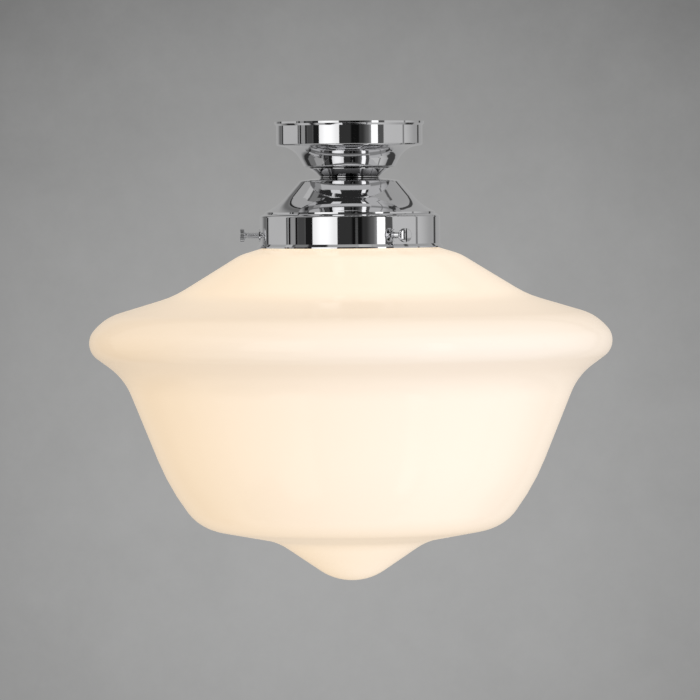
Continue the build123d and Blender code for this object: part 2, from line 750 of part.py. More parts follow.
def make_lamp_cap():
    skin = sharp(
        (LAMP_CAP_EYE / 2, lamp_cap_top_z),
        (lamp_cap_radius, lamp_cap_top_z - LAMP_CAP_TAPER),
        (lamp_cap_radius, lamp_cap_foot_z),
    )
    return turned(skin + moved_aside(skin, LAMP_CAP_WALL)[::-1])


def housing_radius(level):
    """Outside of the housing's cone at a level."""
    share = (lamp_cap_foot_z - level) / (lamp_cap_foot_z - diffuser_top_z)
    return lamp_cap_radius + share * (diffuser_mouth - lamp_cap_radius)


board_radius = housing_radius(board_top_z) - HOUSING_WALL - HOLE_CLEARANCE


def make_lamp_housing():
    spigot = lamp_cap_radius - LAMP_CAP_WALL - THREAD_CLEARANCE
    spigot_top_z = lamp_cap_foot_z + LAMP_CAP_TAPER
    board_bore = board_radius + HOLE_CLEARANCE
    return turned(sharp(
        (spigot, spigot_top_z),
        (spigot, lamp_cap_foot_z),
        (lamp_cap_radius, lamp_cap_foot_z),
        (diffuser_mouth, diffuser_top_z),
        (board_bore, diffuser_top_z),
        (board_bore, board_top_z),
        (board_radius - BOARD_INSET, board_top_z),
        (spigot - HOUSING_WALL, lamp_cap_foot_z),
        (spigot - HOUSING_WALL, spigot_top_z),
    ))


def make_lamp_diffuser():
    radius = LAMP_DIAMETER / 2
    globe = Pos(0, 0, lamp_centre_z) * (Sphere(radius) - Sphere(radius - DIFFUSER_WALL))
    return globe - box((-radius, radius), (-radius, radius), (diffuser_top_z, lamp_centre_z + 2 * radius))


def make_led_board():
    return Pos(0, 0, board_foot_z) * extrude(Circle(board_radius), BOARD_THICKNESS)


def make_led_chips():
    half = CHIP_SIZE / 2
    chip = box((-half, half), (-half, half), (board_foot_z - CHIP_HEIGHT, board_foot_z))
    return [
        Rot(0, 0, 360 * place / CHIP_COUNT) * Pos(CHIP_CIRCLE / 2) * chip
        for place in range(CHIP_COUNT)
    ]


def make_driver_board():
    half = DRIVER_WIDTH / 2
    thin = DRIVER_THICKNESS / 2
    return box((-half, half), (-thin, thin), (board_top_z, board_top_z + DRIVER_HEIGHT))


# Every piece by its node's name: a list is a group of separate solids

thumbscrew = make_thumbscrew()
pieces = {
    "canopy": make_canopy(),
    "neck_collar": make_neck_collar(),
    "gallery": make_gallery(),
    "screw_bosses": make_screw_bosses(),
    "glass_shade": make_glass_shade(),
    "mounting_bracket": make_mounting_bracket(),
    "threaded_nipple": make_threaded_nipple(),
    "bracket_locknut": hex_nut(plate_z),
    "canopy_nut": hex_nut(canopy_floor_z),
    "gallery_washer": make_gallery_washer(),
    "gallery_nut": hex_nut(gallery_seat_z - WASHER_THICKNESS - NUT_HEIGHT),
    "earth_screw": make_earth_screw(),
    "earth_lug": make_earth_lug(),
    "terminal_block": make_terminal_block(),
    "terminal_clamps": make_terminal_clamps(),
    "terminal_screws": make_terminal_screws(),
    "terminal_fixing_screw": make_terminal_fixing_screw(),
    "active_wire": make_lamp_lead(0, -1),
    "neutral_wire": make_lamp_lead(1, 1),
    "earth_wire": make_earth_wire(),
    "holder_cap": make_holder_cap(),
    "holder_shell": make_holder_shell(),
    "holder_core": make_holder_core(),
    "holder_sleeve": make_holder_sleeve(),
    "centre_contact": make_centre_contact(),
    "holder_terminals": make_holder_terminals(),
    "holder_terminal_screws": make_holder_terminal_screws(),
    "lamp_contact": make_lamp_contact(),
    "lamp_cap_insulator": make_lamp_cap_insulator(),
    "lamp_cap": make_lamp_cap(),
    "lamp_housing": make_lamp_housing(),
    "lamp_diffuser": make_lamp_diffuser(),
    "led_board": make_led_board(),
    "led_chips": make_led_chips(),
    "driver_board": make_driver_board(),
}
for place, angle in SCREW_ANGLES.items():
    pieces[f"thumbscrew_{place}"] = around(angle, thumbscrew)

os.makedirs("parts", exist_ok=True)
for name, piece in pieces.items():
    solids = piece if isinstance(piece, list) else [piece]
    shape = solids[0] if len(solids) == 1 else Compound([s for one in solids for s in one.solids()])
    export_step(shape, f"parts/{name}.step")
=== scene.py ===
import json
import math
from collections import namedtuple

import bpy
from mathutils import Matrix, Vector


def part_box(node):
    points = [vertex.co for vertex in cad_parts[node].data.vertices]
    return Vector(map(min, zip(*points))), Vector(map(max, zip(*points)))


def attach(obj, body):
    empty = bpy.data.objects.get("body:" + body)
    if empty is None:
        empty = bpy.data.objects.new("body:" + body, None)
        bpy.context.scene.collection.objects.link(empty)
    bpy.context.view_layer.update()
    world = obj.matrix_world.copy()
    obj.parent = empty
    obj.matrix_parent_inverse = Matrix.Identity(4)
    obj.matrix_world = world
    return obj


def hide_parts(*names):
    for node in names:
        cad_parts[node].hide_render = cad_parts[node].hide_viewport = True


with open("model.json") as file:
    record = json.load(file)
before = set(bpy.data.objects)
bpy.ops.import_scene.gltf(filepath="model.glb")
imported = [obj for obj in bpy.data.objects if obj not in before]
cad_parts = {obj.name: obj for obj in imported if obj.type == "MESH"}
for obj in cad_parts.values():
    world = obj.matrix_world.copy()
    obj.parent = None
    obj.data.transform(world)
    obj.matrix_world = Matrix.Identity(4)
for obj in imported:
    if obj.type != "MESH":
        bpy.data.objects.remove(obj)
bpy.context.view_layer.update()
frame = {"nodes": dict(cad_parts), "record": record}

# Ceiling light with an opal schoolhouse shade: finishes, finer pieces, studio and camera.
# Metres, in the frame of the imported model.

nodes = frame["nodes"]
scene = bpy.context.scene

# Camera, its lens and sensor in millimetres and its roll in degrees
CAMERA_PLACE = (-0.0005, -2.9, -0.039)
CAMERA_AIM = (-0.0005, 0.0, -0.131)
CAMERA_LENS = 260.0
CAMERA_SENSOR = 36.0
CAMERA_REACH = 100.0
CAMERA_ROLL = -0.42

# Lamp inside the shade
LAMP_CENTRE = (0.0, 0.0, -0.1425)
LAMP_COLOUR = (1.0, 0.84, 0.62, 1)
LAMP_STRENGTH = 0.8

# Patterns: the parts of a noise's range that are used
NOISE_MIDDLE = (0.3, 0.7)
NOISE_WIDE = (0.25, 0.75)

# Chrome, and its faint turning lines
CHROME_DARK = (0.80, 0.80, 0.815, 1)
CHROME_LIGHT = (0.87, 0.87, 0.88, 1)
CHROME_CLOUD = 60.0
CHROME_LINES = 2400.0
CHROME_ROUGHNESS = (0.02, 0.05)

# Opal glass, its painted glow, and the distance at which the painted lamp light is full
OPAL_DARK = (0.88, 0.87, 0.85, 1)
OPAL_LIGHT = (0.93, 0.92, 0.90, 1)
OPAL_CLOUD = 14.0
GLOW_DIM = (0.71, 0.555, 0.395, 1)
GLOW_BRIGHT = (0.93, 0.73, 0.51, 1)
GLOW_CLOUD = 9.0
GLOW_DRIFT = 0.04
LIT_DISTANCE = 0.12

# Earth lead: green sleeving with yellow stripes
EARTH_GREEN = (0.05, 0.30, 0.07, 1)
EARTH_YELLOW = (0.80, 0.62, 0.05, 1)
EARTH_STRIPES = 140.0
EARTH_EDGE = (0.62, 0.70)
EARTH_GRAIN = 900.0
EARTH_ROUGHNESS = (0.28, 0.42)

# Painted shadow in the joints above and below the neck collar, fading out across the faces around them
COLLAR_WAIST_RADIUS = 0.0169
SEAM_HALF = 0.0004
SEAM_FADE = 0.0003
SEAM_SPREAD = 0.006
SEAM_SHADOW_TONE = (0.06, 0.06, 0.06, 1)

# Metals and mouldings: two tones, a range of roughness, and the scale of the grain
Look = namedtuple("Look", "dark light roughness grain", defaults=(900.0,))
PLATED = {
    "zinc_steel": Look((0.52, 0.53, 0.55), (0.68, 0.69, 0.71), (0.25, 0.42), 2600.0),
    "brass": Look((0.62, 0.44, 0.17), (0.80, 0.62, 0.30), (0.18, 0.32), 2600.0),
    "tinned_copper": Look((0.60, 0.60, 0.58), (0.74, 0.74, 0.72), (0.3, 0.45), 2200.0),
    "lamp_cap_metal": Look((0.60, 0.60, 0.58), (0.74, 0.74, 0.72), (0.2, 0.34), 2400.0),
}
MOULDED = {
    "block_plastic": Look((0.80, 0.79, 0.74), (0.88, 0.87, 0.83), (0.42, 0.58)),
    "brown_sleeving": Look((0.17, 0.075, 0.035), (0.24, 0.11, 0.05), (0.28, 0.42)),
    "blue_sleeving": Look((0.035, 0.13, 0.42), (0.055, 0.19, 0.52), (0.28, 0.42)),
    "holder_plastic": Look((0.018, 0.018, 0.02), (0.04, 0.04, 0.042), (0.2, 0.36)),
    "core_ceramic": Look((0.78, 0.76, 0.70), (0.86, 0.84, 0.78), (0.3, 0.5)),
    "lamp_white": Look((0.82, 0.82, 0.80), (0.88, 0.88, 0.86), (0.35, 0.5)),
    "lamp_diffuser": Look((0.90, 0.86, 0.78), (0.94, 0.91, 0.84), (0.4, 0.5)),
    "cap_glass": Look((0.02, 0.02, 0.025), (0.05, 0.05, 0.055), (0.06, 0.14)),
    "board_metal": Look((0.84, 0.84, 0.82), (0.90, 0.90, 0.88), (0.4, 0.55)),
    "chip": Look((0.80, 0.60, 0.16), (0.90, 0.72, 0.24), (0.3, 0.45)),
    "driver": Look((0.03, 0.16, 0.07), (0.06, 0.24, 0.10), (0.4, 0.55)),
}

# Smooth pieces: the angle past which an edge stays sharp, and the most that an arc turns in a step
SHARP_ANGLE = math.radians(40)
ARC_STEP = math.radians(5)

# Glass shade: corners of its outline, from its top down, as (radius, depth below the top, rounding)
SHADE_FACETS = 160
SHADE_WALL = 0.0035
NECK_RADIUS = 0.046
BEAD_RADIUS = 0.0486
BEAD_HEIGHT = 0.0052
BEAD_ROUNDING = 0.0023
BEAD_FILLET = 0.0002
BEAD_CORNERS = [
    (NECK_RADIUS - SHADE_WALL, 0.0, 0.0),
    (BEAD_RADIUS, 0.0, BEAD_ROUNDING),
    (BEAD_RADIUS, BEAD_HEIGHT, BEAD_ROUNDING),
    (NECK_RADIUS, BEAD_HEIGHT, BEAD_FILLET),
]
NECK_TOP = (NECK_RADIUS, 0.0, 0.0)
SHADE_CORNERS = {
    "neck": (NECK_RADIUS, 0.0134, 0.004),
    "collar": (0.063, 0.0185, 0.025),
    "scoop": (0.1015, 0.0421, 0.060),
    "brow": (0.1413, 0.054, 0.030),
    "nose": (0.15495, 0.07034, 0.011),
    "waist": (0.1302, 0.0885, 0.037),
    "flank": (0.1046, 0.152, 0.133),
    "foot": (0.0876, 0.1747, 0.028),
    "finial": (0.0434, 0.183, 0.035),
    "drop": (0.01016, 0.2056, 0.032),
    "tip": (0.0, 0.2056, 0.0),
}

# Thumbscrews, with their threads, knurling and driver slots
SCREW_ANGLES = {"left": 180.0, "front": 300.0, "rear": 60.0}
SCREW_FACETS = 120
KNURLS = 24
KNURL_DEPTH = 0.00025
THREAD_PITCH = 0.0007
THREAD_DEPTH = 0.00036
THREAD_STEPS = 6
SHANK_RADIUS = 0.0018
HEAD_HEIGHT = 0.0028
HEAD_EDGE = 0.0005
HEAD_CONE = 0.0009
HEAD_DOME = 0.0004
SLOT_WIDTH = 0.0010
SLOT_DEPTH = 0.0009
# A head's rolled edge, from the rim in, as shares of HEAD_EDGE along and inward and of KNURL_DEPTH
RIM_LEAD = 0.2
RIM_INSET = 1.3
EDGE_ROLL = [(0.1, 0.5, 0.0), (0.4, 0.1, 0.6), (1.0, 0.0, 1.0)]
# A head's domed face: its rim's share of HEAD_DOME, then shares of HEAD_DOME and the head's radius
RIM_RISE = 0.1
DOME_ROWS = [(0.6, 0.68), (0.95, 0.3)]

# Studio: what the chrome sees, by direction from the light, in degrees.
# Azimuth 0 is in front of the light and rises to its right. Later cards stand before earlier ones.
# A card with no foot and top reaches all heights. A leaning one moves sideways by its lean for each
# degree above the level.
Card = namedtuple("Card", "left right level soft foot top lean", defaults=(0.6, None, None, 0.0))
STUDIO_CARDS = {
    "wall_left": Card(-129.0, -90.0, 0.50),
    "wall_left_low": Card(-129.0, -90.0, 0.17, 4.0, -44.0, -11.0),
    "wall_right": Card(55.6, 137.0, 0.54),
    "wall_right_far": Card(112.0, 150.0, 0.36, 16.0),
    "wall_right_high": Card(70.0, 150.0, 0.36, 8.0, 25.0, 75.0),
    "wall_right_low": Card(55.6, 125.0, 0.28, 4.0, -30.0, -11.0),
    "shade_rear_left": Card(-148.0, -131.0, 0.15, 7.0, -44.0, 60.0, -0.68),
    "flag_rear_left": Card(-133.0, -128.8, 0.02, 0.6, -44.0, 60.0, -0.68),
    "window_edge": Card(-89.0, -87.0, 0.03, 0.4, -20.0, 40.0),
    "window_frame": Card(-85.3, -70.5, 0.008, 0.4, -16.0, 34.0),
    "window": Card(-82.0, -74.0, 0.30, 0.8, -12.0, 30.0),
    "stand_left": Card(-70.5, -59.0, 0.065, 0.8, -16.0, 34.0),
    "flag_left": Card(-59.0, -48.6, 0.012, 0.6, -15.0, 34.0),
    "floor_left": Card(-108.0, -80.0, 0.33, 1.5, -47.0, -21.5),
    "floor": Card(-86.0, 60.0, 0.56, 1.5, -47.0, -21.5),
    "floor_far": Card(-90.0, 56.0, 0.15, 1.0, -21.5, -13.0),
    "dark_front": Card(-48.6, 52.0, 0.034, 1.2, -13.5, 50.0),
    "softbox": Card(-48.6, -16.0, 0.98, 0.35, -12.5, 47.0),
    "softbox_core": Card(-43.0, -24.0, 1.20, 6.0, -11.0, 40.0),
    "gap_front": Card(2.5, 15.5, 0.006, 1.5, -12.0, 30.0),
    "stand_front": Card(6.8, 10.0, 0.09, 0.4, -12.0, -0.1),
    "strip_haze": Card(25.0, 46.0, 0.12, 5.0, -12.0, 25.0),
    "strip_edge": Card(32.0, 46.0, 0.30, 3.0, -14.0, 25.0),
    "strip": Card(34.7, 45.7, 1.35, 0.6, -16.0, 25.0),
    "flag_right": Card(45.7, 55.6, 0.09, 0.7, -15.0, 34.0),
    "over_edge": Card(-130.0, 130.0, 0.10, 0.7, 50.5, 53.5),
    "over_left": Card(-130.0, -104.0, 0.20, 1.0, 53.0, 70.0),
    "over_dark": Card(-108.0, 86.0, 0.03, 1.0, 56.0, 75.0),
    "under_dark": Card(-108.0, 58.0, 0.028, 2.0, -76.0, -46.0),
    "under_left": Card(-112.0, -85.0, 0.42, 2.0, -76.0, -61.0),
    "under_floor": Card(-180.0, 180.0, 0.52, 2.0, -95.0, -77.0),
    "under_softbox": Card(-58.0, -28.0, 0.85, 0.8, -61.0, -46.0),
    "under_strip": Card(38.0, 50.0, 1.2, 0.8, -58.0, -46.0),
    "wall_joint": Card(93.0, 96.5, 0.22, 0.6, -60.0, 60.0),
    "flag_rear_right": Card(135.0, 141.5, 0.06, 0.6, -44.0, 60.0, 0.6),
    "low_rear_left": Card(-141.0, -127.0, 0.03, 2.0, -41.0, -18.0),
    "low_rear_right": Card(118.0, 144.0, 0.05, 2.0, -40.0, -18.0),
}
BEHIND_AND_ABOVE = 0.39

# Backdrop: the height of its brightest place in degrees, the fall of its light in square degrees,
# its tones and mottle, and the heights in degrees between which it gives way to the floor
BACKDROP_CENTRE = -3.4
BACKDROP_FALL = 46.0
BACKDROP_LIGHT = 0.385
BACKDROP_DARK = 0.19
BACKDROP_MOTTLE = 0.09
BACKDROP_GRAIN = 55.0
BACKDROP_FOOT = -6.0
FLOOR_EDGE = -11.0

# Even fill, and how much blue the greys have for their red and green
FILL_LEVEL = 0.06
GREY_BLUE = 0.995

# Soft lamps
SoftLamp = namedtuple("SoftLamp", "spot aim size watts colour", defaults=((1.0, 1.0, 1.0),))
SOFT_LAMPS = {
    "key_right": SoftLamp((1.6, -2.2, -0.25), (0.0, 0.0, -0.15), 1.4, 24.0, (0.46, 0.69, 1.0)),
    "fill_above": SoftLamp((0.0, -0.8, 2.2), (0.0, 0.0, -0.1), 2.0, 7.0),
    "fill_behind": SoftLamp((0.3, 2.4, 0.6), (0.0, 0.0, -0.15), 1.6, 7.0),
}

# Floor of the room below the light
FLOOR_LEVEL = -6.0
FLOOR_HALF = 20.0
FLOOR_TONE = 0.42
FLOOR_DARK = (0.62, 0.62, 0.61, 1)
FLOOR_LIGHT = (0.68, 0.68, 0.67, 1)
FLOOR_CLOUD = 0.8


# Node helpers

def put(tree, kind, **properties):
    """A new node with some of its properties set."""
    made = tree.nodes.new(kind)
    for key, value in properties.items():
        setattr(made, key, value)
    return made


def feed(tree, target, value):
    """Links an output to an input, or sets the input to a plain value."""
    if isinstance(value, bpy.types.NodeSocket):
        tree.links.new(value, target)
    else:
        target.default_value = value


def math_node(tree, operation, first, second=0.0, clamp=False):
    made = put(tree, "ShaderNodeMath", operation=operation, use_clamp=clamp)
    feed(tree, made.inputs[0], first)
    feed(tree, made.inputs[1], second)
    return made.outputs[0]


def vector_node(tree, operation, first, second=(0.0, 0.0, 0.0)):
    """The outputs of a vector operation, Vector and Value."""
    made = put(tree, "ShaderNodeVectorMath", operation=operation)
    feed(tree, made.inputs[0], first)
    feed(tree, made.inputs[1], second)
    return made.outputs


def spread(tree, value, low, high, to_low=0.0, to_high=1.0, smooth=False):
    """The value's place between low and high, as a number between two others."""
    made = put(tree, "ShaderNodeMapRange", interpolation_type="SMOOTHSTEP" if smooth else "LINEAR")
    made.clamp = True
    for socket, number in zip(made.inputs[:5], (value, low, high, to_low, to_high)):
        feed(tree, socket, number)
    return made.outputs["Result"]


def mixed(tree, factor, first, second):
    """A colour between two others; a Mix node's colours are its inputs 6 and 7 and its output 2."""
    made = put(tree, "ShaderNodeMix", data_type="RGBA")
    feed(tree, made.inputs[0], factor)
    feed(tree, made.inputs[6], first)
    feed(tree, made.inputs[7], second)
    return made.outputs[2]


def noise(tree, vector, scale, detail=2.0, roughness=0.5):
    made = put(tree, "ShaderNodeTexNoise")
    feed(tree, made.inputs["Vector"], vector)
    made.inputs["Scale"].default_value = scale
    made.inputs["Detail"].default_value = detail
    made.inputs["Roughness"].default_value = roughness
    return made.outputs["Fac"]


def place(tree):
    """Where a point is on the object, in metres."""
    return put(tree, "ShaderNodeTexCoord").outputs["Object"]


def split(tree, vector):
    made = put(tree, "ShaderNodeSeparateXYZ")
    feed(tree, made.inputs[0], vector)
    return made.outputs


def joined(tree, x, y, z):
    made = put(tree, "ShaderNodeCombineXYZ")
    for socket, value in zip(made.inputs, (x, y, z)):
        feed(tree, socket, value)
    return made.outputs[0]


def squares_sum(tree, first, second):
    first_square = math_node(tree, "MULTIPLY", first, first)
    second_square = math_node(tree, "MULTIPLY", second, second)
    return math_node(tree, "ADD", first_square, second_square)


def round_place(tree):
    """A point's distance from the axis and its height, so that a pattern runs round the axis."""
    x, y, z = split(tree, place(tree))
    return joined(tree, math_node(tree, "SQRT", squares_sum(tree, x, y)), 0.0, z)


def surface(name, **sockets):
    """A new material with one Principled shader, and its tree and shader."""
    made = bpy.data.materials.new(name)
    made.use_nodes = True
    tree = made.node_tree
    shader = tree.nodes["Principled BSDF"]
    for key, value in sockets.items():
        shader.inputs[key.replace("_", " ")].default_value = value
    return made, tree, shader


def bumped(tree, shader, height, strength, distance):
    made = put(tree, "ShaderNodeBump")
    made.inputs["Strength"].default_value = strength
    made.inputs["Distance"].default_value = distance
    feed(tree, made.inputs["Height"], height)
    tree.links.new(made.outputs[0], shader.inputs["Normal"])


# Finishes

def painted_seam_shadow(tree):
    """1 in the joints above and below the neck collar, where shadow is painted, and 0 elsewhere."""
    low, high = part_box("neck_collar")
    radius, _, height = split(tree, round_place(tree))
    shade = 0.0
    for level, reach in ((low.z, COLLAR_WAIST_RADIUS), (high.z, high.x)):
        off = math_node(tree, "ABSOLUTE", math_node(tree, "SUBTRACT", height, level))
        line = spread(tree, off, SEAM_HALF, SEAM_HALF + SEAM_FADE, 1.0, 0.0)
        near = spread(tree, radius, reach, reach + SEAM_SPREAD, 1.0, 0.0)
        shade = math_node(tree, "MAXIMUM", shade, math_node(tree, "MULTIPLY", line, near))
    return shade


def chrome_finish():
    """Polished chrome plate over spun brass, with very faint turning lines and painted shadow in the joints
    around the neck collar.
    """
    made, tree, shader = surface("chrome", Metallic=1.0)
    lines = noise(tree, round_place(tree), CHROME_LINES, detail=3.0)
    cloud = noise(tree, place(tree), CHROME_CLOUD, detail=3.0)
    tone = mixed(tree, cloud, CHROME_DARK, CHROME_LIGHT)
    # Painted shadow darkens the chrome in the joints around the neck collar.
    feed(tree, shader.inputs["Base Color"], mixed(tree, painted_seam_shadow(tree), tone, SEAM_SHADOW_TONE))
    feed(tree, shader.inputs["Roughness"], spread(tree, lines, *NOISE_MIDDLE, *CHROME_ROUGHNESS))
    bumped(tree, shader, lines, strength=0.02, distance=0.0001)
    return made


def opal_finish():
    """White opal glass with a gloss skin, and the warm light of the lamp inside it painted in as glow."""
    made, tree, shader = surface("opal_glass", Roughness=0.5, Specular_IOR_Level=0.0,
                                 Coat_Weight=0.5, Coat_Roughness=0.12, Coat_IOR=1.5)
    cloud = noise(tree, place(tree), OPAL_CLOUD, detail=3.0)
    feed(tree, shader.inputs["Base Color"], mixed(tree, cloud, OPAL_DARK, OPAL_LIGHT))
    # Painted light: the glow is brightest where the glass is near the lamp and faces it.
    reach = vector_node(tree, "SUBTRACT", place(tree), LAMP_CENTRE)["Vector"]
    far = vector_node(tree, "LENGTH", reach)["Value"]
    way = vector_node(tree, "NORMALIZE", reach)["Vector"]
    normal = put(tree, "ShaderNodeTexCoord").outputs["Normal"]
    facing = vector_node(tree, "DOT_PRODUCT", way, normal)["Value"]
    nearness = math_node(tree, "POWER", math_node(tree, "DIVIDE", LIT_DISTANCE, far), 2.0)
    lit = math_node(tree, "MULTIPLY", facing, nearness)
    drift = spread(tree, noise(tree, place(tree), GLOW_CLOUD), *NOISE_MIDDLE, -GLOW_DRIFT, GLOW_DRIFT)
    lit = math_node(tree, "ADD", lit, drift, clamp=True)
    feed(tree, shader.inputs["Emission Color"], mixed(tree, lit, GLOW_DIM, GLOW_BRIGHT))
    shader.inputs["Emission Strength"].default_value = 1.0
    return made


def cloudy_finish(name, look, metallic, cloud, detail, strength, distance):
    """A finish with a cloudy tone and a fine grain."""
    made, tree, shader = surface(name, Metallic=metallic)
    patches = noise(tree, place(tree), cloud, detail)
    feed(tree, shader.inputs["Base Color"], mixed(tree, patches, (*look.dark, 1), (*look.light, 1)))
    fine = noise(tree, place(tree), look.grain)
    feed(tree, shader.inputs["Roughness"], spread(tree, fine, *NOISE_WIDE, *look.roughness))
    bumped(tree, shader, fine, strength, distance)
    return made


def plated_finish(name, look):
    """Plain plated or drawn metal."""
    return cloudy_finish(name, look, metallic=1.0, cloud=180.0, detail=4.0, strength=0.15, distance=0.00004)


def moulded_finish(name, look):
    """Moulded plastic, ceramic or sleeving with a slightly uneven skin."""
    return cloudy_finish(name, look, metallic=0.0, cloud=120.0, detail=3.0, strength=0.2, distance=0.00003)


def earth_finish():
    """Green sleeving with yellow stripes."""
    made, tree, shader = surface("earth_sleeving")
    bands = put(tree, "ShaderNodeTexWave", bands_direction="DIAGONAL")
    feed(tree, bands.inputs["Vector"], place(tree))
    bands.inputs["Scale"].default_value = EARTH_STRIPES
    stripe = spread(tree, bands.outputs["Fac"], *EARTH_EDGE)
    feed(tree, shader.inputs["Base Color"], mixed(tree, stripe, EARTH_GREEN, EARTH_YELLOW))
    fine = noise(tree, place(tree), EARTH_GRAIN)
    feed(tree, shader.inputs["Roughness"], spread(tree, fine, *NOISE_WIDE, *EARTH_ROUGHNESS))
    return made


def light_up(finish):
    """Lights a finish warm from inside."""
    shader = finish.node_tree.nodes["Principled BSDF"]
    shader.inputs["Emission Color"].default_value = LAMP_COLOUR
    shader.inputs["Emission Strength"].default_value = LAMP_STRENGTH


finishes = {"chrome": chrome_finish(), "opal_glass": opal_finish(), "earth_sleeving": earth_finish()}
for name, look in PLATED.items():
    finishes[name] = plated_finish(name, look)
for name, look in MOULDED.items():
    finishes[name] = moulded_finish(name, look)
light_up(finishes["lamp_diffuser"])

for part in frame["record"]["subparts"]:
    mesh = nodes[part["node"]].data
    mesh.materials.clear()
    mesh.materials.append(finishes[part["material_slot"]])
# The lamp stays out of the chrome, as in the photograph.
for name in ("lamp_diffuser", "lamp_housing"):
    nodes[name].visible_glossy = False


# Shapes

def plain(radius):
    """The same radius at every angle."""
    return lambda angle: radius


def lathe_mesh(name, rows, facets):
    """A closed mesh turned about X; each row is (place along X, radius at an angle), the ends on X."""
    corners = [(rows[0][0], 0.0, 0.0)]
    for along, radius in rows[1:-1]:
        for step in range(facets):
            angle = math.tau * step / facets
            reach = radius(angle)
            corners.append((along, reach * math.cos(angle), reach * math.sin(angle)))
    corners.append((rows[-1][0], 0.0, 0.0))
    last = len(corners) - 1
    faces = []
    for step in range(facets):
        after = (step + 1) % facets
        faces.append((0, 1 + after, 1 + step))
        for row in range(len(rows) - 3):
            low, high = 1 + row * facets, 1 + (row + 1) * facets
            faces.append((low + step, low + after, high + after, high + step))
        foot = last - facets
        faces.append((foot + step, foot + after, last))
    mesh = bpy.data.meshes.new(name)
    mesh.from_pydata(corners, [], faces)
    return mesh


def block_mesh(name, low, high):
    """A closed box between two corners."""
    corners = [(x, y, z) for x in (low[0], high[0]) for y in (low[1], high[1]) for z in (low[2], high[2])]
    faces = [(0, 1, 3, 2), (4, 6, 7, 5), (0, 4, 5, 1), (2, 3, 7, 6), (0, 2, 6, 4), (1, 5, 7, 3)]
    mesh = bpy.data.meshes.new(name)
    mesh.from_pydata(corners, [], faces)
    return mesh


def cut_away(piece, low, high):
    """Cuts a box out of a piece."""
    cutter = bpy.data.objects.new("cutter", block_mesh("cutter", low, high))
    scene.collection.objects.link(cutter)
    cut = piece.modifiers.new("cut", "BOOLEAN")
    cut.operation = "DIFFERENCE"
    cut.solver = "EXACT"
    cut.object = cutter
    graph = bpy.context.evaluated_depsgraph_get()
    mesh = bpy.data.meshes.new_from_object(piece.evaluated_get(graph))
    piece.modifiers.clear()
    piece.data = mesh
    bpy.data.objects.remove(cutter)


def finish_mesh(mesh, slot):
    """Smooths a mesh but for its sharp edges, and gives it its finish."""
    mesh.shade_smooth()
    mesh.set_sharp_from_angle(angle=SHARP_ANGLE)
    mesh.materials.append(finishes[slot])


# Glass shade

def rounded_path(corners):
    """Points along a path of (radius, depth, rounding) corners, each with the way its skin faces."""
    spots = [Vector((radius, -depth)) for radius, depth, _ in corners]
    ways = [(after - before).normalized() for before, after in zip(spots, spots[1:])]
    path = [(spots[0], Vector((-ways[0].y, ways[0].x)))]
    for spot, (_, _, rounding), way_in, way_out in zip(spots[1:], corners[1:], ways, ways[1:]):
        turn = math.atan2(way_in.x * way_out.y - way_in.y * way_out.x, way_in.dot(way_out))
        bend = math.copysign(rounding, turn)
        start = spot - way_in * rounding * math.tan(abs(turn) / 2)
        centre = start + Vector((-way_in.y, way_in.x)) * bend
        count = math.ceil(abs(turn) / ARC_STEP)
        for step in range(count + 1):
            way = Matrix.Rotation(turn * step / count, 2) @ way_in
            facing = Vector((-way.y, way.x))
            path.append((centre - facing * bend, facing))
    path.append((spots[-1], Vector((-ways[-1].y, ways[-1].x))))
    return path


def blown_shade():
    """The glass shade as one smooth skin, turned from its outline and kept out of the chrome."""
    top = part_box("glass_shade")[1].z
    skin = list(SHADE_CORNERS.values())
    outside = [spot for spot, facing in rounded_path(BEAD_CORNERS + skin)]
    inside = [spot - facing * SHADE_WALL for spot, facing in rounded_path([NECK_TOP] + skin)]
    outline = outside[::-1] + inside[1:]
    rows = [(top + spot.y, plain(spot.x)) for spot in outline]
    mesh = lathe_mesh("blown_shade", rows, SHADE_FACETS)
    mesh.transform(Matrix.Rotation(math.radians(-90), 4, "Y"))
    finish_mesh(mesh, "opal_glass")
    shade = bpy.data.objects.new("blown_shade", mesh)
    scene.collection.objects.link(shade)
    shade.visible_glossy = False
    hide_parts("glass_shade")
    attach(shade, "shade")


# Thumbscrews

def screw_mesh(tip, top, head_radius):
    """A thumbscrew along X: a threaded shank, a cone, and a knurled and domed head, not yet slotted."""
    under = top - HEAD_HEIGHT
    shank_end = under - HEAD_CONE

    def threaded(along):
        run_in = min(1.0, (along - tip) / THREAD_PITCH)
        run_out = min(1.0, (shank_end - along) / (2 * THREAD_PITCH))

        def radius(angle):
            turn = (along / THREAD_PITCH - angle / math.tau) % 1.0
            return SHANK_RADIUS - THREAD_DEPTH * (run_out * abs(2 * turn - 1) + 1 - run_in)
        return radius

    def knurled(inset, depth):
        return lambda angle: head_radius - inset - depth * max(0.0, math.cos(KNURLS * angle))

    rows = [(tip, None), (tip, plain(SHANK_RADIUS - 2 * THREAD_DEPTH))]
    count = round((shank_end - tip) / THREAD_PITCH * THREAD_STEPS)
    for step in range(1, count):
        along = tip + (shank_end - tip) * step / count
        rows.append((along, threaded(along)))
    face = top - HEAD_DOME
    rim = plain(head_radius - HEAD_EDGE * RIM_INSET)
    rows += [(shank_end, plain(SHANK_RADIUS)), (under - HEAD_EDGE * RIM_LEAD, rim)]
    for share, inset, depth in EDGE_ROLL:
        rows.append((under + HEAD_EDGE * share, knurled(HEAD_EDGE * inset, KNURL_DEPTH * depth)))
    for share, inset, depth in reversed(EDGE_ROLL):
        rows.append((face - HEAD_EDGE * share, knurled(HEAD_EDGE * inset, KNURL_DEPTH * depth)))
    rows.append((face + HEAD_DOME * RIM_RISE, rim))
    for rise, share in DOME_ROWS:
        rows.append((face + HEAD_DOME * rise, plain(head_radius * share)))
    rows.append((top, None))
    return lathe_mesh("thumbscrew", rows, SCREW_FACETS)


